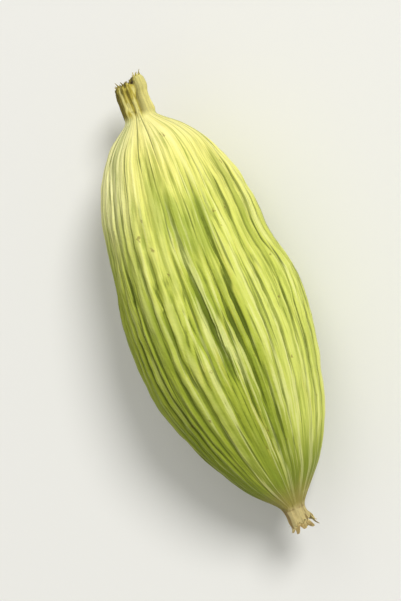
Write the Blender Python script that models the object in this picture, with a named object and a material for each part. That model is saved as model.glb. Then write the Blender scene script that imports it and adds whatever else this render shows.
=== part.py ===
"""A dried green cardamom pod, lying on one of its three faces.

The pod is one grown piece: a ribbed three-sided husk, the stub of its stalk at +X and the withered
collar of its flower at -X. It is lofted as one skin of rings along the X axis, in metres, +Z up.
A ring's angles run from the top edge (0) towards -Y (90), in degrees where a name ends in DEG.
"""

import math
import random

import bmesh
import bpy
from mathutils import Vector

MM = 0.001

# Overall sizes.
BODY_LENGTH = 19.8 * MM
BODY_RADIUS = 4.34 * MM
STALK_LENGTH = 1.8 * MM
STALK_RADIUS = 0.74 * MM
COLLAR_LENGTH = 0.95 * MM
COLLAR_RADIUS = 0.60 * MM
REST_CUT = 0.2 * MM

# The husk's radius at shares of its length from the stalk, as a share of BODY_RADIUS.
OUTLINE = (
    (0.00, 0.17),
    (0.014, 0.24),
    (0.04, 0.405),
    (0.09, 0.595),
    (0.17, 0.755),
    (0.28, 0.88),
    (0.40, 0.95),
    (0.53, 1.00),
    (0.64, 0.96),
    (0.74, 0.85),
    (0.83, 0.69),
    (0.91, 0.495),
    (0.965, 0.28),
    (1.00, 0.14),
)

# The section's three blunt edges: how far they stand out, how much sharper they are than its faces,
# and the share of the length over which they grow from the round neck.
EDGE_SHARE = 0.075
EDGE_SHARPNESS = 0.22
EDGE_GROWTH = 0.25

# The spine bows by this much in this direction, away from the fuller side.
SPINE_BOW = 0.46 * MM
BOW_DIRECTION_DEG = -65.0

# Furrows on the edge and the face that lie towards -Y: angle, depth, and where each starts and ends.
NAMED_FURROWS = (
    (-31.0, 0.18 * MM, 0.12, 0.92),
    (-22.0, 0.22 * MM, 0.16, 0.88),
    (-14.0, 0.16 * MM, 0.22, 0.86),
    (-6.5, 0.20 * MM, 0.18, 0.90),
    (1.0, 0.24 * MM, 0.26, 0.92),
    (9.0, 0.14 * MM, 0.10, 0.60),
    (17.0, 0.13 * MM, 0.40, 0.92),
    (25.5, 0.30 * MM, 0.20, 0.62),
    (32.5, 0.10 * MM, 0.05, 0.95),
    (39.5, 0.29 * MM, 0.36, 0.94),
    (48.0, 0.34 * MM, 0.16, 0.80),
    (59.0, 0.13 * MM, 0.05, 0.85),
    (71.0, 0.13 * MM, 0.10, 0.90),
    (86.0, 0.14 * MM, 0.06, 0.92),
)

# The other furrows are spread over the rest of the section, with these ranges to draw from.
SPREAD_FURROWS = 22
SPREAD_JITTER = 0.22
SPREAD_DEPTHS = (0.10 * MM, 0.26 * MM)
SPREAD_STARTS = (0.02, 0.20)
SPREAD_ENDS = (0.86, 1.0)
WANDER_DEG = (0.7, 1.7)
WANDER_WAVES = (1.2, 2.6)
FURROW_FADE = 0.1
FADED_SHARE = 0.25
SEED = 11

# The belly's furrows are worn nearly flat over this half width and half length, where the pod rests.
REST_WIDTH_DEG = 34.0
REST_LENGTH_SHARE = 0.27
REST_WEAR = 0.85

# Four columns of points follow each furrow: its bottom, its two sides and the crest beside it.
COLUMN_SHARES = (0.0, 0.22, 0.5, 0.78)
SIDE_DEPTH_SHARE = 0.34
SMALL_RING_STEP = 3

# Soft swellings and dents: share of the length, angle, half length, half width in degrees, height.
SWELLINGS = (
    (0.355, 112.0, 0.055, 34.0, -0.25 * MM),
    (0.475, 112.0, 0.09, 38.0, 0.20 * MM),
    (0.30, -62.0, 0.08, 30.0, -0.14 * MM),
    (0.62, 60.0, 0.13, 26.0, 0.10 * MM),
    (0.44, 36.0, 0.10, 16.0, -0.10 * MM),
    (0.70, -48.0, 0.12, 26.0, 0.12 * MM),
    (0.38, -120.0, 0.10, 30.0, 0.18 * MM),
    (0.74, 132.0, 0.10, 28.0, -0.12 * MM),
    (0.58, -98.0, 0.08, 24.0, -0.14 * MM),
    (0.20, 20.0, 0.07, 30.0, 0.10 * MM),
)

BODY_RINGS = 35
RING_CROWDING = 0.7

# The stalk's stub: its radius along its length, its lean, its slanted broken end and its pith hollow.
STALK_PROFILE = (0.98, 0.95, 0.95, 0.98, 1.03, 0.99)
STALK_LEAN = Vector((0.0, -0.08, 0.06)) * MM
STALK_FLUTES = ((3, 40.0), (5, 170.0), (9, 80.0), (13, 10.0))
STALK_FLUTE_SHARE = 0.10
STALK_TALL_SIDE_DEG = 150.0
STALK_SLANT_SHARE = 0.30
STALK_SPLINTERS = ((4, 15.0), (7, 200.0), (11, 95.0))
STALK_SPLINTER_HEIGHT = 0.16 * MM
STALK_HOLLOW_SHARE = 0.56
STALK_HOLLOW_DEPTH = 0.50 * MM

# The withered collar: a short crumpled tube with a torn rim.
COLLAR_PROFILE = (0.88, 0.84, 0.90, 1.00)
COLLAR_LEAN = Vector((0.0, -0.10, -0.12)) * MM
COLLAR_CRUMPLES = ((2, 60.0), (3, 10.0), (5, 130.0), (9, 0.0))
COLLAR_CRUMPLE_SHARE = 0.20
COLLAR_TEARS = ((2, 0.0), (5, 75.0), (7, 190.0), (12, 30.0))
COLLAR_TEAR_HEIGHT = 0.34 * MM
COLLAR_WALL_SHARE = 0.68
COLLAR_HOLLOW_DEPTH = 0.65 * MM

HUSK_COLOUR = (0.50, 0.56, 0.09, 1.0)
HUSK_ROUGHNESS = 0.6


def lerp(a, b, share):
    return a + (b - a) * share


def smooth_step(low, high, value):
    share = min(max((value - low) / (high - low), 0.0), 1.0)
    return share * share * (3.0 - 2.0 * share)


def outline_at(share):
    """The husk's radius share there, on a smooth curve through OUTLINE's points."""
    last = len(OUTLINE) - 2
    k = next((i for i in range(last) if share < OUTLINE[i + 1][0]), last)
    (s0, r0), (s1, r1) = OUTLINE[k], OUTLINE[k + 1]
    before, after = OUTLINE[max(k - 1, 0)], OUTLINE[min(k + 2, last + 1)]
    slope_in = (r1 - before[1]) / (s1 - before[0])
    slope_out = (after[1] - r0) / (after[0] - s0)
    width = s1 - s0
    u = (share - s0) / width
    return (
        (2 * u**3 - 3 * u**2 + 1) * r0
        + (u**3 - 2 * u**2 + u) * width * slope_in
        + (3 * u**2 - 2 * u**3) * r1
        + (u**3 - u**2) * width * slope_out
    )


def make_furrows():
    """Every furrow in order round the pod, as angle, depth, where it starts and ends, and its wander."""
    draw = random.Random(SEED)
    first, last = NAMED_FURROWS[0][0] + 360.0, NAMED_FURROWS[-1][0]
    step = (first - last) / (SPREAD_FURROWS + 1)
    furrows = list(NAMED_FURROWS)
    for k in range(SPREAD_FURROWS):
        angle = last + step * (k + 1 + draw.uniform(-SPREAD_JITTER, SPREAD_JITTER))
        furrows.append(
            (angle, draw.uniform(*SPREAD_DEPTHS), draw.uniform(*SPREAD_STARTS), draw.uniform(*SPREAD_ENDS))
        )
    return [
        {
            "angle": angle,
            "depth": depth,
            "start": start,
            "end": end,
            "wander": draw.uniform(*WANDER_DEG),
            "phase": draw.uniform(0.0, 2.0 * math.pi),
            "waves": draw.uniform(*WANDER_WAVES),
        }
        for angle, depth, start, end in furrows
    ]


def furrow_angle(furrow, share):
    """Where the furrow is at that share of the length: it wanders by a degree or two."""
    return furrow["angle"] + furrow["wander"] * math.sin(
        2.0 * math.pi * furrow["waves"] * share + furrow["phase"]
    )


def furrow_depth(furrow, share):
    """Its depth there: it fades in and out, and nearly out where the pod rests."""
    shown = smooth_step(furrow["start"] - FURROW_FADE, furrow["start"] + FURROW_FADE, share)
    shown *= 1.0 - smooth_step(furrow["end"] - FURROW_FADE, furrow["end"] + FURROW_FADE, share)
    off_belly = ((furrow["angle"] % 360.0) - 180.0) / REST_WIDTH_DEG
    along = (share - 0.5) / REST_LENGTH_SHARE
    worn = math.exp(-(off_belly**2)) * math.exp(-(along**2))
    return (
        furrow["depth"] * lerp(FADED_SHARE, 1.0, shown) * outline_at(share) * (1.0 - REST_WEAR * worn)
    )


def swelling_at(share, angle):
    total = 0.0
    for s, a, half_length, half_width, height in SWELLINGS:
        turn = (angle - a + 180.0) % 360.0 - 180.0
        total += height * math.exp(
            -(((share - s) / half_length) ** 2) - (turn / half_width) ** 2
        )
    return total * outline_at(share)


def spine_at(share):
    """The middle of the husk's section: straight from neck to tip but for a slight sideways bow."""
    bow = SPINE_BOW * math.sin(math.pi * share)
    turn = math.radians(BOW_DIRECTION_DEG)
    return Vector((-BODY_LENGTH * share, -bow * math.sin(turn), bow * math.cos(turn)))


def around(centre, radius, angle):
    """The point at that radius and angle from the centre, in the plane across the X axis."""
    turn = math.radians(angle)
    return centre + Vector((0.0, -radius * math.sin(turn), radius * math.cos(turn)))


def edge_share(share, angle):
    """How far the blunt edges at 0, 120 and 240 degrees stand out there, or the faces between sink in."""
    turn = math.radians(3.0 * angle)
    wave = math.cos(turn) + EDGE_SHARPNESS * math.cos(2.0 * turn)
    return EDGE_SHARE * smooth_step(0.0, EDGE_GROWTH, share) * wave


def husk_point(share, angle, depth):
    radius = BODY_RADIUS * outline_at(share) * (1.0 + edge_share(share, angle))
    return around(spine_at(share), radius + swelling_at(share, angle) - depth, angle)


def husk_columns(furrows, share):
    """The angle and depth of each column of points there: four for each furrow."""
    columns = []
    for k, furrow in enumerate(furrows):
        following = furrows[(k + 1) % len(furrows)]
        start = furrow_angle(furrow, share)
        end = furrow_angle(following, share) + (360.0 if following is furrows[0] else 0.0)
        depths = (
            furrow_depth(furrow, share),
            furrow_depth(furrow, share) * SIDE_DEPTH_SHARE,
            0.0,
            furrow_depth(following, share) * SIDE_DEPTH_SHARE,
        )
        for column, depth in zip(COLUMN_SHARES, depths):
            columns.append((lerp(start, end, column), depth))
    return columns


def small_angles(furrows, share):
    """The angles of a small ring's points, each level with the middle one of three on the husk."""
    return [angle for angle, _ in husk_columns(furrows, share)[1::SMALL_RING_STEP]]


def uneven(angle, waves):
    """An uneven closed curve round a ring, within -1 and 1, from pairs of a count and a phase in degrees."""
    return sum(math.cos(math.radians(count * angle + phase)) for count, phase in waves) / len(waves)


def stalk_rings(angles):
    """From the neck out to the slanted broken end, then in over the rim to the floor of the pith hollow."""
    rings = []
    for k, width in enumerate(STALK_PROFILE):
        out = (k + 1) / len(STALK_PROFILE)
        centre = Vector((STALK_LENGTH * out, 0.0, 0.0)) + STALK_LEAN * out * out
        ring = []
        for angle in angles:
            radius = STALK_RADIUS * width * (1.0 + STALK_FLUTE_SHARE * uneven(angle, STALK_FLUTES))
            point = around(centre, radius, angle)
            tall = math.cos(math.radians(angle - STALK_TALL_SIDE_DEG))
            slant = STALK_SLANT_SHARE * STALK_RADIUS * tall
            point.x += (slant + STALK_SPLINTER_HEIGHT * uneven(angle, STALK_SPLINTERS)) * out**3
            ring.append(point)
        rings.append(ring)
    rim = rings[-1]
    middle = sum(rim, Vector()) / len(rim)
    rings.append([middle.lerp(p, STALK_HOLLOW_SHARE) for p in rim])
    hollow = Vector((STALK_HOLLOW_DEPTH, 0.0, 0.0))
    rings.append([middle.lerp(p, STALK_HOLLOW_SHARE * 0.7) - hollow for p in rim])
    return rings


def collar_rings(angles):
    """From the tip out to the collar's torn rim, then in over the rim to the floor of the hollow."""
    rings = []
    tip = spine_at(1.0)
    for k, width in enumerate(COLLAR_PROFILE):
        out = (k + 1) / len(COLLAR_PROFILE)
        centre = tip + COLLAR_LEAN * out * out - Vector((COLLAR_LENGTH * out, 0.0, 0.0))
        ring = []
        for angle in angles:
            crumple = COLLAR_CRUMPLE_SHARE * uneven(angle, COLLAR_CRUMPLES) * out
            point = around(centre, COLLAR_RADIUS * width * (1.0 + crumple), angle)
            point.x -= COLLAR_TEAR_HEIGHT * uneven(angle, COLLAR_TEARS) * out**3
            ring.append(point)
        rings.append(ring)
    rim = rings[-1]
    middle = sum(rim, Vector()) / len(rim)
    inner = [Vector((p.x, *(middle.lerp(p, COLLAR_WALL_SHARE)).yz)) for p in rim]
    rings.append(inner)
    floor_x = middle.x + COLLAR_HOLLOW_DEPTH
    rings.append([Vector((floor_x, *(middle.lerp(p, 0.75)).yz)) for p in inner])
    return rings


def add_ring(bm, points):
    return [bm.verts.new(p) for p in points]


def join_equal(bm, ring_a, ring_b):
    for k in range(len(ring_a)):
        j = (k + 1) % len(ring_a)
        bm.faces.new((ring_a[k], ring_a[j], ring_b[j], ring_b[k]))


def join_three_to_one(bm, large, small):
    """Joins a husk ring to a small ring that has a third of its points."""
    for k, point in enumerate(small):
        first = SMALL_RING_STEP * k
        a, b, c = large[first], large[first + 1], large[first + 2]
        following = large[(first + 3) % len(large)]
        bm.faces.new((a, b, point))
        bm.faces.new((b, c, point))
        bm.faces.new((c, following, small[(k + 1) % len(small)], point))


def close_end(bm, ring):
    centre = bm.verts.new(sum((v.co for v in ring), Vector()) / len(ring))
    for k in range(len(ring)):
        bm.faces.new((ring[k], ring[(k + 1) % len(ring)], centre))


def ring_shares():
    """Shares of the length for the husk's rings, closer together at both ends."""
    shares = []
    for k in range(BODY_RINGS):
        even = k / (BODY_RINGS - 1)
        shares.append(lerp(even, 0.5 - 0.5 * math.cos(math.pi * even), RING_CROWDING))
    return shares


def loft_pod(bm):
    furrows = make_furrows()
    husk = []
    for share in ring_shares():
        columns = husk_columns(furrows, share)
        husk.append(add_ring(bm, [husk_point(share, angle, depth) for angle, depth in columns]))
    stalk = [add_ring(bm, ring) for ring in stalk_rings(small_angles(furrows, 0.0))]
    collar = [add_ring(bm, ring) for ring in collar_rings(small_angles(furrows, 1.0))]
    for rings in (husk, stalk, collar):
        for ring_a, ring_b in zip(rings, rings[1:]):
            join_equal(bm, ring_a, ring_b)
    join_three_to_one(bm, husk[0], stalk[0])
    join_three_to_one(bm, husk[-1], collar[0])
    close_end(bm, stalk[-1])
    close_end(bm, collar[-1])
    bmesh.ops.recalc_face_normals(bm, faces=bm.faces)


def stand_on_floor(bm):
    """Flattens the lowest part of the belly, then moves the pod over the origin with that flat at z = 0."""
    floor = min(v.co.z for v in bm.verts) + REST_CUT
    for vert in bm.verts:
        vert.co.z = max(vert.co.z, floor)
    xs, ys = [v.co.x for v in bm.verts], [v.co.y for v in bm.verts]
    middle = Vector(((min(xs) + max(xs)) / 2, (min(ys) + max(ys)) / 2, floor))
    bmesh.ops.translate(bm, verts=bm.verts, vec=-middle)


def husk_material():
    material = bpy.data.materials.new("dried_green_husk")
    material.use_nodes = True
    shader = material.node_tree.nodes["Principled BSDF"]
    shader.inputs["Base Color"].default_value = HUSK_COLOUR
    shader.inputs["Roughness"].default_value = HUSK_ROUGHNESS
    shader.inputs["Metallic"].default_value = 0.0
    return material


def main():
    for obj in list(bpy.data.objects):
        bpy.data.objects.remove(obj)
    bm = bmesh.new()
    loft_pod(bm)
    stand_on_floor(bm)
    mesh = bpy.data.meshes.new("cardamom_pod")
    bm.to_mesh(mesh)
    bm.free()
    mesh.materials.append(husk_material())
    mesh.shade_smooth()
    pod = bpy.data.objects.new("cardamom_pod", mesh)
    bpy.context.scene.collection.objects.link(pod)


main()
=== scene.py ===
import math
import random

import bmesh
import bpy
import numpy as np
from mathutils import Matrix, Vector, noise


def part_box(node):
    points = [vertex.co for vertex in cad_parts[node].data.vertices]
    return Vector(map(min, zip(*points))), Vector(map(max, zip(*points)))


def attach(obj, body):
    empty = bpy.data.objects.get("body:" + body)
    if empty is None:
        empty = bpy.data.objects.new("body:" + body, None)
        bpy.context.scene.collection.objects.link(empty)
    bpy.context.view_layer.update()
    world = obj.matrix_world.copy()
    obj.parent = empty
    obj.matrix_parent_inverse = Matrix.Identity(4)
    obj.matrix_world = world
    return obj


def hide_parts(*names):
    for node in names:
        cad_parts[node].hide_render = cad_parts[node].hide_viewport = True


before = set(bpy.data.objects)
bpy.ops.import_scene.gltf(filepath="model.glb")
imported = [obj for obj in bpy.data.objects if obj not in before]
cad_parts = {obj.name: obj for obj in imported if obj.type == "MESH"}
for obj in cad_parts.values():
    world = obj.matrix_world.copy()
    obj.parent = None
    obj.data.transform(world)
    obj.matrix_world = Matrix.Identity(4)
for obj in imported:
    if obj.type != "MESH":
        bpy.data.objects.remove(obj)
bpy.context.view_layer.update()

mm = 0.001
podLow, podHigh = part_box("cardamom_pod")
print("frame loaded, pod is", [round(side / mm, 1) for side in podHigh - podLow], "mm")


# Camera and light are placed by the picture's own axes: right, up, and from the pod to the camera.
shot = {
    "elevation": 65.0,  # degrees above the floor
    "axisLean": 21.4,  # degrees by which the pod's axis leans left of upright in the picture
    "pictureHeight": 28.6 * mm,  # what the picture's height takes in at the pod
    "lens": 180.0,
    "sensor": 36.0,
    "clip": (5 * mm, 5.0),  # nearest and furthest that is seen
    "aim": (0.28 * mm, 0.0, 4.2 * mm),
}


def pictureAxes():
    rise, lean = math.radians(shot["elevation"]), math.radians(shot["axisLean"])
    toCamera = Vector((0.0, -math.cos(rise), math.sin(rise)))
    acrossPod = Vector((0.0, -math.sin(rise), -math.cos(rise)))
    alongPod = Vector((1.0, 0.0, 0.0))
    up = alongPod * math.cos(lean) + acrossPod * math.sin(lean)
    return up.cross(toCamera), up, toCamera


def facing(direction, up):
    # a camera or light looks down its own -Z
    right = up.cross(direction).normalized()
    return Matrix((right, direction.cross(right), direction)).transposed().to_4x4()


def addCamera():
    _, up, toCamera = pictureAxes()
    distance = shot["pictureHeight"] * shot["lens"] / shot["sensor"]
    bpy.ops.object.camera_add()
    camera = bpy.context.object
    camera.name = "photoCamera"
    camera.data.lens = shot["lens"]
    camera.data.sensor_width = shot["sensor"]
    camera.data.clip_start, camera.data.clip_end = shot["clip"]
    place = Matrix.Translation(Vector(shot["aim"]) + toCamera * distance)
    camera.matrix_world = place @ facing(toCamera, up)
    bpy.context.scene.camera = camera


addCamera()
print("camera set")


# Small helpers for objects and nodes.
def pickOnly(piece):
    bpy.ops.object.select_all(action="DESELECT")
    piece.select_set(True)
    bpy.context.view_layer.objects.active = piece


def applyAll(piece):
    pickOnly(piece)
    for modifier in list(piece.modifiers):
        bpy.ops.object.modifier_apply(modifier=modifier.name)


def subdivideBy(piece, levels):
    finer = piece.modifiers.new("finer", "SUBSURF")
    finer.levels = finer.render_levels = levels
    applyAll(piece)
    bpy.ops.object.shade_smooth()


def addNode(tree, kind, inputs=None, **settings):
    # an input is a socket to link or a value to set
    node = tree.nodes.new(kind)
    for name, value in settings.items():
        setattr(node, name, value)
    for name, value in (inputs or {}).items():
        if isinstance(value, bpy.types.NodeSocket):
            tree.links.new(value, node.inputs[name])
        else:
            node.inputs[name].default_value = value
    return node


def attributeOf(tree, name, output="Fac"):
    return addNode(tree, "ShaderNodeAttribute", attribute_name=name).outputs[output]


def stretched(tree, vector, scale):
    return addNode(tree, "ShaderNodeMapping", {"Vector": vector, "Scale": scale}).outputs["Vector"]


def noiseOf(tree, vector, scale, detail, roughness=0.5):
    inputs = {"Vector": vector, "Scale": scale, "Detail": detail, "Roughness": roughness}
    return addNode(tree, "ShaderNodeTexNoise", inputs).outputs["Fac"]


def spread(tree, value, low, high, toLow=0.0, toHigh=1.0):
    inputs = {"Value": value, "From Min": low, "From Max": high, "To Min": toLow, "To Max": toHigh}
    return addNode(tree, "ShaderNodeMapRange", inputs, interpolation_type="SMOOTHSTEP").outputs["Result"]


def mathOf(tree, operation, first, second):
    return addNode(tree, "ShaderNodeMath", {0: first, 1: second}, operation=operation).outputs[0]


def times(tree, first, second):
    return mathOf(tree, "MULTIPLY", first, second)


def shifted(tree, value, by, amount):
    # moved to either side by a noise, whose middle is one half
    return mathOf(tree, "ADD", value, times(tree, mathOf(tree, "SUBTRACT", by, 0.5), amount))


def mixed(tree, share, first, second):
    # sockets 0, 6 and 7 are the share and the two colours
    return addNode(tree, "ShaderNodeMix", {0: share, 6: first, 7: second}, data_type="RGBA").outputs[2]


def hexColour(text):
    # a screen colour such as "c6bc5f" as the linear numbers that nodes take
    values = [int(text[k : k + 2], 16) / 255 for k in (0, 2, 4)]
    return tuple(v / 12.92 if v <= 0.04045 else ((v + 0.055) / 1.055) ** 2.4 for v in values) + (1.0,)


def rampOf(tree, value, stops):
    node = addNode(tree, "ShaderNodeValToRGB", {"Fac": value})
    elements = node.color_ramp.elements
    while len(elements) < len(stops):
        elements.new(0.5)
    for element, (place, text) in zip(elements, stops):
        element.position = place
        element.color = hexColour(text)
    return node.outputs["Color"]


def newGroup(name, inputs, outputs):
    # "Place" is a vector and every other socket a number
    group = bpy.data.node_groups.new(name, "ShaderNodeTree")
    for inOut, socketNames in (("INPUT", inputs), ("OUTPUT", outputs)):
        for socketName in socketNames:
            kind = "NodeSocketVector" if socketName == "Place" else "NodeSocketFloat"
            group.interface.new_socket(socketName, in_out=inOut, socket_type=kind)
    return group, addNode(group, "NodeGroupInput").outputs, addNode(group, "NodeGroupOutput").inputs


# Fibres that run along the pod: fine pale and dark streaks, thin dark veins, and the height of it all.
fibre = {
    "stretch": (0.07, 1.0, 1.0),
    "coarseShare": 0.6,
    "fineShare": 0.4,
    "streakRange": (0.36, 0.64),  # of the noise, from dark to pale
    "veinStretch": (0.10, 2.4, 2.4),
    "veinRange": (0.62, 0.70),  # only the noise's peaks are veins
    "veinDepth": 0.5,
}


def buildFibreGroup():
    sockets = ("Place", "Coarse Scale", "Fine Scale"), ("Streak", "Vein", "Height")
    group, given, result = newGroup("plantFibre", *sockets)
    alongFibre = stretched(group, given["Place"], fibre["stretch"])
    coarse = noiseOf(group, alongFibre, given["Coarse Scale"], detail=2.0)
    fine = noiseOf(group, alongFibre, given["Fine Scale"], detail=1.0)
    coarse, fine = times(group, coarse, fibre["coarseShare"]), times(group, fine, fibre["fineShare"])
    both = mathOf(group, "ADD", coarse, fine)
    alongVein = stretched(group, given["Place"], fibre["veinStretch"])
    peaks = noiseOf(group, alongVein, given["Coarse Scale"], detail=1.0)
    vein = spread(group, peaks, *fibre["veinRange"])
    height = mathOf(group, "SUBTRACT", both, times(group, vein, fibre["veinDepth"]))
    group.links.new(spread(group, both, *fibre["streakRange"]), result["Streak"])
    group.links.new(vein, result["Vein"])
    group.links.new(height, result["Height"])
    return group


# Brown specks and pinholes of age: a few dots of uneven size.
speck = {
    "unevenScale": 5.0,
    "uneven": 0.35,  # how far that noise moves a dot's outline
    "stretch": (0.55, 1.0, 1.0),
    "edge": (0.26, 0.10),  # distances from a dot's middle at which it starts and is full
}


def buildSpeckGroup():
    group, given, result = newGroup("ageSpecks", ("Place", "Scale", "Rarity"), ("Mask",))
    inputs = {"Vector": given["Place"], "Scale": speck["unevenScale"], "Detail": 2.0}
    rough = addNode(group, "ShaderNodeTexNoise", inputs).outputs["Color"]
    shift = addNode(group, "ShaderNodeVectorMath", {0: rough, 3: speck["uneven"]}, operation="SCALE")
    inputs = {0: given["Place"], 1: shift.outputs[0]}
    moved = addNode(group, "ShaderNodeVectorMath", inputs, operation="ADD")
    longer = stretched(group, moved.outputs[0], speck["stretch"])
    cells = addNode(group, "ShaderNodeTexVoronoi", {"Vector": longer, "Scale": given["Scale"]}).outputs
    dot = spread(group, cells["Distance"], *speck["edge"])
    draw = addNode(group, "ShaderNodeSeparateColor", {"Color": cells["Color"]}).outputs["Red"]
    kept = mathOf(group, "GREATER_THAN", draw, given["Rarity"])
    group.links.new(times(group, dot, kept), result["Mask"])
    return group


fibreGroup = buildFibreGroup()
speckGroup = buildSpeckGroup()
print("shared node groups built")


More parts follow.
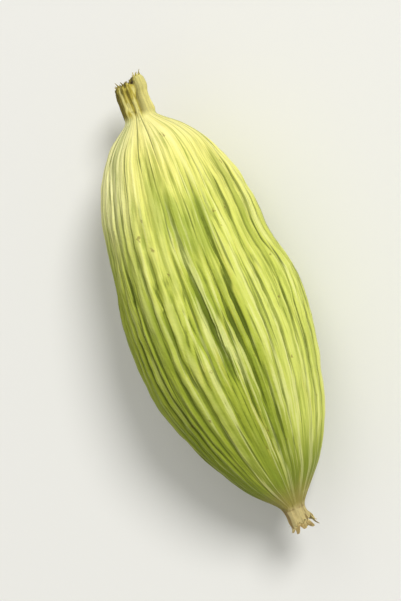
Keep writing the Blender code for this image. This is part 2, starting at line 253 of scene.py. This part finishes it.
# The husk: the CAD pod's own form, merged and subdivided, with the relief that its facets can't hold.
husk = {
    "mergeWithin": 0.001 * mm,
    "subdivisions": 2,
    "stalkStub": 2.11 * mm,  # from the box's stalk end back to the neck
    "length": 19.8 * mm,  # neck to tip
    "zoneEdges": (-0.1 * mm, 0.3 * mm),  # past the neck or tip: stalk or collar starts, and is whole
    "reliefFades": (1.2 * mm, 1.0 * mm),  # within the neck and the tip
    "restingBelow": 0.02 * mm,  # what is lower lies on the floor and keeps its place
    # how the skin is read
    "grainRadius": 4.3 * mm,  # the round that the fibres' places are laid out on
    "stations": 60,  # slices along the pod that its middle line is read from
    "stationsEvened": 7,  # slices whose mean is taken, or the belly's flat would bend that line
    "ringEdges": (75, 0.5),  # percentile of all edges' turns; those over this share of it run round
    "ribRounds": 420,  # how widely the skin is evened out to find what stands out as a rib
    "creaseRounds": 14,  # and as a fine crease
    "ribHeight": 0.19 * mm,  # relief that counts as a full rib or furrow for the colour
    "creaseHeight": 0.036 * mm,
    # the furrows' floors, and thin ribs that stand in them: sizes along and round the pod, height
    "furrowSharpness": 0.30,
    "furrowSharpest": 0.16 * mm,
    "furrowFibres": (7 * mm, 0.30 * mm, 0.10 * mm),
    "furrowFibreWidth": 0.22,  # share of the noise's range, as in grooveWidth
    # fine relief: sizes along and round the pod, depth
    "grooves": (
        (9 * mm, 0.95 * mm, 0.065 * mm),
        (6 * mm, 0.46 * mm, 0.045 * mm),
        (4 * mm, 0.22 * mm, 0.024 * mm),
    ),
    "grooveWidth": 0.15,
    "groovePatches": (4.5 * mm, 2.6 * mm),  # sizes of the areas where the grooves are deeper
    "grooveRange": (-0.25, 0.35),  # noise at which such an area starts and is whole
    "grooveLeast": 0.35,  # what is left of the depth elsewhere
    "striae": (3.0 * mm, 0.15 * mm, 0.022 * mm),
    "wrinkles": (0.55 * mm, 0.60 * mm, 0.040 * mm),
    "lumps": (2.2 * mm, 0.09 * mm),
    "stalkFibres": (1.4 * mm, 0.16 * mm, 0.11 * mm),
    "stalkKnobs": (0.42 * mm, 0.11 * mm),
    "collarFibres": (0.9 * mm, 0.15 * mm, 0.05 * mm),
    # where colours change; angles are degrees from the top edge towards -Y
    "paintedLightAngle": 95.0,  # the side of stalk and flank that is painted lit; the shoulder's painted highlight and the stalk's painted shade lie on the other side
    # a greener colour with painted shade on the picture's left face
    "greenerShadedFace": (2.0, -6.0, -100.0, -128.0),  # starts, is whole, wanes, ends
    "greenerShadedWaver": (3 * mm, 1.2 * mm, 5.0),  # how its edges waver: sizes, degrees
    "greenerShadedFrom": (0.12, 0.32),  # shares of the length over which it sets in
    "frayed": (6 * mm, 0.45 * mm, 0.16),  # how that runs out fibre by fibre: sizes, share of the length
    "hollowRadius": 0.42 * mm,
    "hollowZone": 0.9,  # how far outside the husk's ends, as a share of the zones above
    "hollowRounds": 6,  # how softly its painted shade ends
    "colours": {
        # shares of the length from the neck to the tip; paler towards the neck, partly the pod's own
        # colour and partly painted light
        "length": (
            (0.0, "eee694"), (0.08, "e3dd7c"), (0.28, "d2d664"), (0.55, "aeb93b"),
            (0.80, "94a02a"), (0.92, "7d8922"), (1.0, "72772a"),
        ),
        "greenPatch": "7f9423",
        "yellowPatch": "c9c257",
        # painted light on the lit flank
        "paintedLitFlank": "d6dc6c",
        # painted highlight on the shoulder
        "paintedShoulderHighlight": "f3efac",
        # painted highlight on the rib crests
        "paintedRibHighlight": "e3e485",
        # painted shade in the furrows; the fine veins use this colour too
        "furrow": "56640c",
        "streakDark": "7d8c20",
        "streakPale": "eae9a2",
        # painted shade in the creases
        "crease": "56640f",
        # a greener colour with painted shade
        "greenerShadedFace": "85941a",
        "speck": "6b5420",
        "scuff": "b09a52",
        "stalk": "b6a63e",
        "stalkDark": "564c12",
        "stalkPale": "e6dd8c",
        "tornFibre": "8f7f33",
        "collar": "c6b57a",
        "collarDark": "7d6433",
        # painted shade in the hollow ends
        "hollowShade": "3a2412",
    },
    "look": {
        # noise: stretch along the pod, scale, detail, roughness
        "patches": ((0.45, 1.0, 1.0), 0.42, 3.0, 0.5),
        "mottle": ((0.26, 1.0, 1.0), 1.9, 4.0, 0.65),
        "grit": ((1.0, 1.0, 1.0), 7.0, 3.0, 0.7),
        "fibres": (1.7, 6.5),  # coarse and fine scale
        "stalkFibres": (2.6, 7.0),
        "placeScale": 900.0,  # from metres to the stalk fibres' own measure
        "specks": (2.6, 0.94),  # scale, rarity
        "wander": 0.35,  # how far the patches shift the colours of the length
        "shoulderFray": 0.12,  # how far the streaks shift the end of the shoulder's painted highlight
        # where a layer shows, by the share of the length
        "flankStarts": (0.36, 0.55),
        "flankEnds": (0.92, 0.80),
        "shoulderEnds": (0.38, 0.14),
        "upperFurrowShade": (0.12, 0.48, 0.45, 1.0),  # the painted shade in furrows and creases is weaker near the neck
        "unevenFurrowShade": (0.34, 0.62, 0.55, 1.0),  # and in parts of the mottle
        "roughness": (-0.55, 0.55, 0.74, 0.54),  # from furrow to rib
        "gritRoughness": 0.2,
        "gritHeight": 0.7,
        "bump": 0.05 * mm,
        "subsurface": (0.06, (1.0, 0.8, 0.25), 0.25 * mm),  # weight, radius, scale
        "specular": 0.35,
        # layers, lowest first: field, values at which it starts and is whole, strength, limit, colour;
        # a field without such values is a mask already
        "skin": (
            ("patches", (0.50, 0.68), 0.55, None, "greenPatch"),
            # painted light: the flank on the lit side is paler
            ("paintedLightSide", (0.84, 0.99), 0.75, "litFlankLimit", "paintedLitFlank"),
            # painted highlight on the shoulder on the side away from the lit flank
            ("paintedLightSide", (0.54, 0.24), 0.9, "shoulderHighlightLimit", "paintedShoulderHighlight"),
            ("mottle", (0.46, 0.28), 0.5, None, "greenPatch"),
            ("mottle", (0.54, 0.72), 0.5, None, "yellowPatch"),
            ("streak", (0.5, 0.0), 0.5, None, "streakDark"),
            ("streak", (0.6, 1.0), 0.4, None, "streakPale"),
            # painted highlight on the rib crests
            ("ribs", (0.03, 0.7), 0.42, None, "paintedRibHighlight"),
            # a greener colour with painted shade on the picture's left face
            ("greenerShaded", None, 0.55, None, "greenerShadedFace"),
            # painted shade in the creases and furrows
            ("creases", (-0.06, -0.8), 0.85, "furrowShadeLimit", "crease"),
            ("ribs", (-0.28, -1.0), 0.95, "furrowShadeLimit", "furrow"),
            ("vein", None, 0.7, None, "furrow"),
            ("specks", None, 0.6, None, "speck"),
            ("along", (0.93, 1.0), 0.55, None, "scuff"),
        ),
        "stalk": (
            ("stalkStreak", (0.65, 0.1), 0.8, None, "stalkDark"),
            ("stalkStreak", (0.6, 1.0), 0.8, None, "stalkPale"),
            ("mottle", (0.52, 0.36), 0.6, None, "stalkDark"),
            # painted shade in the stalk's creases
            ("creases", (-0.1, -0.8), 0.7, None, "stalkDark"),
            # painted highlight on the stalk's lit side and painted shade on its other side
            ("paintedLightSide", (0.72, 1.0), 0.7, None, "stalkPale"),
            ("paintedLightSide", (0.45, 0.05), 0.5, None, "stalkDark"),
        ),
        "collar": (
            ("stalkStreak", (0.55, 0.1), 0.8, None, "collarDark"),
            # painted shade in the collar's creases
            ("creases", (-0.1, -0.8), 0.6, None, "collarDark"),
        ),
        # painted shade in the hollows at the stalk's broken end and the collar's mouth
        "ends": (("hollowShade", None, 0.95, None, "hollowShade"),),
    },
}
neckX = podHigh.x - husk["stalkStub"]
tipX = neckX - husk["length"]


def copyOfPod():
    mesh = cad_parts["cardamom_pod"].data.copy()
    piece = bpy.data.objects.new("podHusk", mesh)
    bpy.context.scene.collection.objects.link(piece)
    mesh.materials.clear()
    pickOnly(piece)
    bpy.ops.mesh.customdata_custom_splitnormals_clear()
    bpy.ops.object.mode_set(mode="EDIT")
    bpy.ops.mesh.select_all(action="SELECT")
    bpy.ops.mesh.remove_doubles(threshold=husk["mergeWithin"])
    # a regular grid of rings and rows, which evenedOut needs
    bpy.ops.mesh.tris_convert_to_quads(
        face_threshold=math.pi, shape_threshold=math.pi, topology_influence=1.0
    )
    bpy.ops.object.mode_set(mode="OBJECT")
    subdivideBy(piece, husk["subdivisions"])
    return piece


def readVectors(items, name):
    values = np.empty(len(items) * 3)
    items.foreach_get(name, values)
    return values.reshape(-1, 3)


def smoothStep(low, high, values):
    share = np.clip((values - low) / (high - low), 0.0, 1.0)
    return share * share * (3.0 - 2.0 * share)


def edgesAround(mesh, angle):
    # the edges that run round the pod, so that evening out along them keeps its length's shape
    pairs = np.empty(len(mesh.edges) * 2, dtype=np.int32)
    mesh.edges.foreach_get("vertices", pairs)
    pairs = pairs.reshape(-1, 2)
    turn = np.abs(angle[pairs[:, 0]] - angle[pairs[:, 1]])
    turn = np.minimum(turn, math.tau - turn)
    percentile, share = husk["ringEdges"]
    return pairs[turn > share * np.percentile(turn, percentile)]


def evenedOut(values, pairs, rounds):
    # each round moves every point half way to the mean of its neighbours
    near, far = pairs[:, 0], pairs[:, 1]
    total = len(values)
    neighbours = np.maximum(np.bincount(near, minlength=total) + np.bincount(far, minlength=total), 1)
    for _ in range(rounds):
        summed = np.bincount(near, values[far], total) + np.bincount(far, values[near], total)
        values = 0.5 * values + 0.5 * summed / neighbours
    return values


def aroundSpine(points):
    # angle and radius of each point about the pod's own middle line, and its half width there
    stations, evened = husk["stations"], husk["stationsEvened"]
    edges = np.linspace(points[:, 0].min(), points[:, 0].max(), stations + 1)
    slices = np.clip(np.digitize(points[:, 0], edges) - 1, 0, stations - 1)
    low, high = (np.full((stations, 2), value) for value in (1.0, -1.0))
    np.minimum.at(low, slices, points[:, 1:])
    np.maximum.at(high, slices, points[:, 1:])
    middles = (edges[1:] + edges[:-1]) / 2
    share = np.full(evened, 1 / evened)
    spine = [np.pad((low[:, k] + high[:, k]) / 2, evened // 2, "edge") for k in (0, 1)]
    centre = [np.interp(points[:, 0], middles, np.convolve(line, share, "valid")) for line in spine]
    halfWidth = np.interp(points[:, 0], middles, (high[:, 0] - low[:, 0]) / 2)
    offY, offZ = points[:, 1] - centre[0], points[:, 2] - centre[1]
    return np.arctan2(-offY, offZ), np.hypot(offY, offZ), halfWidth


def noiseAt(places):
    return np.array([noise.noise(Vector(place)) for place in places])


def grainPlaces(x, angle, alongSize, aroundSize):
    # places for noise that is stretched along the pod and closes round it
    laidRound = husk["grainRadius"] / aroundSize
    return np.column_stack((x / alongSize, np.cos(angle) * laidRound, np.sin(angle) * laidRound))


def linesAt(x, angle, alongSize, aroundSize, width):
    # 1 on lines that wander along the pod, fading to 0 at both sides
    offLine = np.abs(noiseAt(grainPlaces(x, angle, alongSize, aroundSize)))
    return np.clip(1.0 - offLine / width, 0.0, 1.0)


def fineRelief(points, angle, size, relief, body, stalk, collar):
    x = points[:, 0]
    deepest = np.clip(-relief / husk["furrowSharpest"], 0.0, 1.0)
    height = -husk["furrowSharpness"] * husk["furrowSharpest"] * deepest**2
    alongSize, aroundSize, standing = husk["furrowFibres"]
    height += standing * deepest * linesAt(x, angle, alongSize, aroundSize, husk["furrowFibreWidth"])
    patches = noiseAt(grainPlaces(x, angle, *husk["groovePatches"]))
    deeper = husk["grooveLeast"] + smoothStep(*husk["grooveRange"], patches)
    for alongSize, aroundSize, depth in husk["grooves"]:
        height -= depth * linesAt(x, angle, alongSize, aroundSize, husk["grooveWidth"]) * size * deeper
    for alongSize, aroundSize, depth in (husk["striae"], husk["wrinkles"]):
        height += depth * noiseAt(grainPlaces(x, angle, alongSize, aroundSize)) * size
    height += husk["lumps"][1] * noiseAt(points / husk["lumps"][0])
    height *= body
    for zone, sizes in ((stalk, husk["stalkFibres"]), (collar, husk["collarFibres"])):
        alongSize, acrossSize, depth = sizes
        height += depth * noiseAt(points / np.array((alongSize, acrossSize, acrossSize))) * zone
    height += husk["stalkKnobs"][1] * noiseAt(points / husk["stalkKnobs"][0]) * stalk
    return height


def greenerShadedShare(x, angle):
    # the face on the left in the picture is greener and painted darker as shade, which sets in unevenly
    # below the neck
    alongSize, aroundSize, waver = husk["greenerShadedWaver"]
    turn = np.degrees(angle) + waver * noiseAt(grainPlaces(x, angle, alongSize, aroundSize))
    starts, whole, wanes, ends = husk["greenerShadedFace"]
    across = smoothStep(starts, whole, turn) * smoothStep(ends, wanes, turn)
    alongSize, aroundSize, uneven = husk["frayed"]
    fray = uneven * noiseAt(grainPlaces(x, angle, alongSize, aroundSize))
    return across * smoothStep(*husk["greenerShadedFrom"], (neckX - x) / husk["length"] + fray)


def writeAttribute(mesh, name, values, kind="FLOAT"):
    layer = mesh.attributes.new(name, kind, "POINT")
    field = "vector" if kind == "FLOAT_VECTOR" else "value"
    layer.data.foreach_set(field, np.ravel(values).astype(np.float32))


def shapeHusk(piece):
    mesh = piece.data
    points = readVectors(mesh.vertices, "co")
    normals = readVectors(mesh.vertex_normals, "vector")
    x = points[:, 0]
    angle, radius, halfWidth = aroundSpine(points)
    pairs = edgesAround(mesh, angle)
    relief = radius - evenedOut(radius, pairs, husk["ribRounds"])
    starts, whole = husk["zoneEdges"]
    stalk = smoothStep(neckX + starts, neckX + whole, x)
    collar = smoothStep(tipX - starts, tipX - whole, x)
    neckFade, tipFade = husk["reliefFades"]
    body = smoothStep(neckX, neckX - neckFade, x) * smoothStep(tipX, tipX + tipFade, x)
    size = np.clip(halfWidth / husk["grainRadius"], 0.0, 1.0)
    lifted = points + normals * fineRelief(points, angle, size, relief, body, stalk, collar)[:, None]
    resting = points[:, 2] < husk["restingBelow"]
    lifted[resting] = points[resting]
    lifted[:, 2] = np.maximum(lifted[:, 2], podLow.z)
    mesh.vertices.foreach_set("co", lifted.ravel())
    mesh.update()
    # what the material reads
    radius = aroundSpine(lifted)[1]
    ribs = radius - evenedOut(radius, pairs, husk["ribRounds"])
    creases = radius - evenedOut(radius, pairs, husk["creaseRounds"])
    # the hollows at both ends, which get painted shade
    inHollow = (stalk + collar > husk["hollowZone"]) & (radius < husk["hollowRadius"])
    writeAttribute(mesh, "grain", grainPlaces(x, angle, mm, mm), "FLOAT_VECTOR")
    writeAttribute(mesh, "along", (neckX - x) / husk["length"])
    writeAttribute(mesh, "ribs", np.clip(ribs / husk["ribHeight"], -1.0, 1.0) * body)
    writeAttribute(mesh, "creases", np.clip(creases / husk["creaseHeight"], -1.0, 1.0))
    # a greener colour with painted shade on the picture's left face
    writeAttribute(mesh, "greenerShaded", greenerShadedShare(x, angle))
    # painted light: how far each point faces the side that is painted lit
    writeAttribute(mesh, "paintedLightSide", 0.5 + 0.5 * np.cos(angle - math.radians(husk["paintedLightAngle"])))
    writeAttribute(mesh, "stalkZone", stalk)
    writeAttribute(mesh, "collarZone", collar)
    writeAttribute(mesh, "hollowShade", evenedOut(inHollow.astype(float), pairs, husk["hollowRounds"]))


def fibresIn(tree, place, coarse, fine):
    inputs = {"Place": place, "Coarse Scale": coarse, "Fine Scale": fine}
    return addNode(tree, "ShaderNodeGroup", inputs, node_tree=fibreGroup).outputs


def specksIn(tree, place, scale, rarity):
    inputs = {"Place": place, "Scale": scale, "Rarity": rarity}
    return addNode(tree, "ShaderNodeGroup", inputs, node_tree=speckGroup).outputs["Mask"]


def layered(tree, colour, fields, layers, colours):
    for field, ends, strength, limit, name in layers:
        if ends:
            mask = spread(tree, fields[field], *ends, 0.0, strength)
        else:
            mask = times(tree, fields[field], strength)
        if limit:
            mask = times(tree, mask, fields[limit])
        colour = mixed(tree, mask, colour, hexColour(colours[name]))
    return colour


def newSurface(name):
    material = bpy.data.materials.new(name)
    material.use_nodes = True
    tree = material.node_tree
    place = addNode(tree, "ShaderNodeTexCoord").outputs["Object"]
    return material, tree, tree.nodes["Principled BSDF"], place


def finishSurface(tree, shader, look, colour, roughness, height):
    weight, radius, scale = look["subsurface"]
    bump = addNode(tree, "ShaderNodeBump", {"Height": height, "Distance": look["bump"], "Strength": 1.0})
    tree.links.new(colour, shader.inputs["Base Color"])
    tree.links.new(roughness, shader.inputs["Roughness"])
    tree.links.new(bump.outputs["Normal"], shader.inputs["Normal"])
    shader.inputs["Subsurface Weight"].default_value = weight
    shader.inputs["Subsurface Radius"].default_value = radius
    shader.inputs["Subsurface Scale"].default_value = scale
    shader.inputs["Specular IOR Level"].default_value = look["specular"]


def huskMaterial():
    material, tree, shader, place = newSurface("driedGreenHusk")
    look, colours = husk["look"], husk["colours"]
    grain = attributeOf(tree, "grain", "Vector")
    names = ("along", "ribs", "creases", "greenerShaded", "paintedLightSide", "stalkZone", "collarZone", "hollowShade")
    fields = {name: attributeOf(tree, name) for name in names}
    for name in ("patches", "mottle", "grit"):
        stretch, scale, detail, roughness = look[name]
        fields[name] = noiseOf(tree, stretched(tree, grain, stretch), scale, detail, roughness)
    fibres = fibresIn(tree, grain, *look["fibres"])
    stalkFibres = fibresIn(tree, stretched(tree, place, (look["placeScale"],) * 3), *look["stalkFibres"])
    fields["streak"], fields["vein"] = fibres["Streak"], fibres["Vein"]
    fields["stalkStreak"] = stalkFibres["Streak"]
    fields["specks"] = specksIn(tree, grain, *look["specks"])
    along = fields["along"]
    # where the painted light on the flank shows along the pod
    flankStarts, flankEnds = (spread(tree, along, *look[name]) for name in ("flankStarts", "flankEnds"))
    fields["litFlankLimit"] = times(tree, flankStarts, flankEnds)
    # where the shoulder's painted highlight ends along the pod
    frayed = shifted(tree, along, fields["streak"], look["shoulderFray"])
    fields["shoulderHighlightLimit"] = spread(tree, frayed, *look["shoulderEnds"])
    # where the painted shade in furrows and creases shows
    upperFurrowShade = spread(tree, along, *look["upperFurrowShade"])
    unevenFurrowShade = spread(tree, fields["mottle"], *look["unevenFurrowShade"])
    fields["furrowShadeLimit"] = times(tree, upperFurrowShade, unevenFurrowShade)
    skin = rampOf(tree, shifted(tree, along, fields["patches"], look["wander"]), colours["length"])
    skin = layered(tree, skin, fields, look["skin"], colours)
    stalk, collar = (
        layered(tree, hexColour(colours[name]), fields, look[name], colours)
        for name in ("stalk", "collar")
    )
    colour = mixed(tree, fields["stalkZone"], skin, stalk)
    colour = mixed(tree, fields["collarZone"], colour, collar)
    colour = layered(tree, colour, fields, look["ends"], colours)
    gritRoughness = times(tree, fields["grit"], look["gritRoughness"])
    roughness = mathOf(tree, "ADD", spread(tree, fields["ribs"], *look["roughness"]), gritRoughness)
    height = mathOf(tree, "ADD", fibres["Height"], times(tree, fields["grit"], look["gritHeight"]))
    finishSurface(tree, shader, look, colour, roughness, height)
    return material


pod = copyOfPod()
shapeHusk(pod)
pod.data.materials.append(huskMaterial())
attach(pod, "root")
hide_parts("cardamom_pod")
print("husk shaped:", len(pod.data.polygons), "faces")


# Torn fibres round the stalk's broken end, and papery shreds round the mouth of the collar.
# One of each is modelled, and its copies differ in length, lean, width and thickness.
slivers = {
    "cuts": 3,
    "subdivisions": 1,
    "slack": 0.02 * mm,  # how near a station its corners are
    "taperPower": 1.4,
    "rooted": 0.10 * mm,  # how deep a root stands in the husk
    "sideways": (-0.25, 0.25),
    "widths": (0.6, 1.3),  # shares of the model's
    "thicknesses": (0.7, 1.2),
    "tornFibres": {
        "end": 1,  # at the stalk
        "count": 38,
        "behind": 1.0 * mm,  # how far past the neck or tip the rim is
        "least": 0.36 * mm,  # and how far from the middle
        "width": 0.065 * mm,
        "thickness": 0.050 * mm,
        "point": 0.40,  # share of the width that is left at the point
        "bow": 0.09 * mm,
        "lengths": (0.10, 0.32),  # mm
        "splay": (-0.30, 0.35),  # inwards or outwards
        "seed": 4,
        "colours": {"base": "tornFibre", "pale": "stalk", "dark": "stalkDark"},
    },
    "collarShreds": {
        "end": -1,
        "count": 15,
        "behind": 0.5 * mm,
        "least": 0.30 * mm,
        "width": 0.30 * mm,
        "thickness": 0.030 * mm,
        "point": 0.45,
        "bow": 0.16 * mm,
        "lengths": (0.25, 0.50),
        "splay": (0.10, 0.60),
        "seed": 9,
        "colours": {"base": "collar", "pale": "stalkPale", "dark": "collarDark"},
    },
    "look": {
        "placeScale": 900.0,
        "fibres": (3.0, 9.0),
        "varied": (1.6, 1.0),  # scale and detail of the noise that makes one sliver paler than another
        "roughness": (0.0, 1.0, 0.85, 0.6),  # from dark to pale streak
        "bump": 0.03 * mm,
        "subsurface": (0.10, (1.0, 0.7, 0.3), 0.1 * mm),
        "specular": 0.5,
        "layers": (
            ("varied", (0.50, 0.70), 0.8, None, "pale"),
            ("varied", (0.50, 0.32), 0.7, None, "dark"),
            ("streak", (0.5, 0.0), 0.5, None, "dark"),
            ("vein", None, 0.6, None, "dark"),
        ),
    },
}


def modelSliver(name, sizes):
    # one sliver 1 mm long with its root at the origin, tapered and bowed station by station
    bpy.ops.object.select_all(action="DESELECT")
    bpy.ops.mesh.primitive_cube_add(size=1.0)
    sliver = bpy.context.object
    sliver.name = name
    bpy.ops.object.mode_set(mode="EDIT")
    bpy.ops.mesh.select_all(action="SELECT")
    section = (mm, sizes["width"], sizes["thickness"])
    bpy.ops.transform.resize(value=section, center_override=(0.0, 0.0, 0.0))
    bpy.ops.transform.translate(value=(mm / 2, 0.0, 0.0))
    bpy.ops.mesh.subdivide(number_cuts=slivers["cuts"])
    for station in range(1, slivers["cuts"] + 2):
        share = station / (slivers["cuts"] + 1)
        edited = bmesh.from_edit_mesh(sliver.data)
        for vertex in edited.verts:
            vertex.select = abs(vertex.co.x - share * mm) < slivers["slack"]
        edited.select_flush_mode()
        taper = 1.0 - (1.0 - sizes["point"]) * share ** slivers["taperPower"]
        bpy.ops.transform.resize(value=(1.0, taper, taper), center_override=(share * mm, 0.0, 0.0))
        bpy.ops.transform.translate(value=(0.0, 0.0, sizes["bow"] * share**2))
    bpy.ops.object.mode_set(mode="OBJECT")
    subdivideBy(sliver, slivers["subdivisions"])
    return sliver


def rimOf(sizes):
    # the furthest point of the husk's end in each direction round its middle
    points = readVectors(pod.data.vertices, "co")
    end = sizes["end"]
    start = neckX if end > 0 else tipX
    points = points[end * (points[:, 0] - start) > sizes["behind"]]
    middle = points[:, 1:].mean(axis=0)
    off = points[:, 1:] - middle
    angle, radius = np.arctan2(off[:, 1], off[:, 0]), np.hypot(off[:, 0], off[:, 1])
    for k in range(sizes["count"]):
        turn = math.tau * (k + 0.5) / sizes["count"] - math.pi
        near = (np.abs(angle - turn) < math.pi / sizes["count"]) & (radius > sizes["least"])
        if near.any():
            best = points[near][np.argmax(end * points[near][:, 0])]
            yield Vector(best), Vector((0.0, best[1] - middle[0], best[2] - middle[1])).normalized()


def growSlivers(name, material):
    sizes = slivers[name]
    draw = random.Random(sizes["seed"])
    model = modelSliver(name, sizes)
    copies = []
    for place, outward in rimOf(sizes):
        length = draw.uniform(*sizes["lengths"])
        sideways = Vector((0.0, outward.z, -outward.y)) * draw.uniform(*slivers["sideways"])
        lean = outward * draw.uniform(*sizes["splay"])
        width, thickness = draw.uniform(*slivers["widths"]), draw.uniform(*slivers["thicknesses"])
        direction = (Vector((sizes["end"], 0.0, 0.0)) + lean + sideways).normalized()
        thin = (outward - direction * outward.dot(direction)).normalized()
        turned = Matrix((direction, thin.cross(direction), thin)).transposed().to_4x4()
        scale = Matrix.Diagonal((length, width, thickness, 1.0))
        copy = model.copy()
        copy.data = model.data.copy()
        bpy.context.scene.collection.objects.link(copy)
        copy.matrix_world = Matrix.Translation(place - direction * slivers["rooted"]) @ turned @ scale
        copies.append(copy)
    bpy.data.objects.remove(model)
    pickOnly(copies[0])
    for copy in copies:
        copy.select_set(True)
    bpy.ops.object.join()
    bpy.ops.object.transform_apply(location=True, rotation=True, scale=True)
    joined = bpy.context.object
    joined.name = name
    joined.data.materials.clear()
    joined.data.materials.append(material)
    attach(joined, "root")
    print(name, "grown:", len(copies), "slivers")


def sliverMaterial(name, sizes):
    material, tree, shader, place = newSurface(name)
    look = slivers["look"]
    place = stretched(tree, place, (look["placeScale"],) * 3)
    fibres = fibresIn(tree, place, *look["fibres"])
    varied = noiseOf(tree, place, *look["varied"])
    fields = {"streak": fibres["Streak"], "vein": fibres["Vein"], "varied": varied}
    colours = {part: husk["colours"][name] for part, name in sizes["colours"].items()}
    colour = layered(tree, hexColour(colours["base"]), fields, look["layers"], colours)
    roughness = spread(tree, fields["streak"], *look["roughness"])
    finishSurface(tree, shader, look, colour, roughness, fibres["Height"])
    return material


growSlivers("tornFibres", sliverMaterial("tornStalkFibre", slivers["tornFibres"]))
growSlivers("collarShreds", sliverMaterial("paperyCollar", slivers["collarShreds"]))


# A plain pale floor, and soft lights placed by the picture.
studio = {
    "floorSize": 0.8,
    "floorColour": "e9e8e3",
    "floorRoughness": 0.8,
    "worldColour": "f1f1ee",
    "worldStrength": 0.50,
    "lights": (
        # name, direction by the picture's axes, distance, size, watts
        ("keyLight", (0.16, 0.38, 0.91), 0.80, 0.25, 4.9),
        ("fillLight", (-0.35, 0.55, 0.76), 0.80, 0.55, 0.8),
    ),
}


def addLight(name, shares, distance, size, watts):
    right, up, toCamera = pictureAxes()
    direction = (right * shares[0] + up * shares[1] + toCamera * shares[2]).normalized()
    bpy.ops.object.light_add(type="AREA")
    light = bpy.context.object
    light.name = name
    light.data.shape = "DISK"
    light.data.size = size
    light.data.energy = watts
    place = Matrix.Translation(Vector(shot["aim"]) + direction * distance)
    light.matrix_world = place @ facing(direction, up)


def buildStudio():
    bpy.ops.object.select_all(action="DESELECT")
    bpy.ops.mesh.primitive_plane_add(size=studio["floorSize"])
    floor = bpy.context.object
    floor.name = "studioFloor"
    material = bpy.data.materials.new("palePaper")
    material.use_nodes = True
    shader = material.node_tree.nodes["Principled BSDF"]
    shader.inputs["Base Color"].default_value = hexColour(studio["floorColour"])
    shader.inputs["Roughness"].default_value = studio["floorRoughness"]
    floor.data.materials.append(material)
    for light in studio["lights"]:
        addLight(*light)
    world = bpy.data.worlds.new("studio")
    bpy.context.scene.world = world
    world.use_nodes = True
    background = world.node_tree.nodes["Background"]
    background.inputs["Color"].default_value = hexColour(studio["worldColour"])
    background.inputs["Strength"].default_value = studio["worldStrength"]
    bpy.context.scene.view_settings.view_transform = "Standard"


buildStudio()
print("studio built")
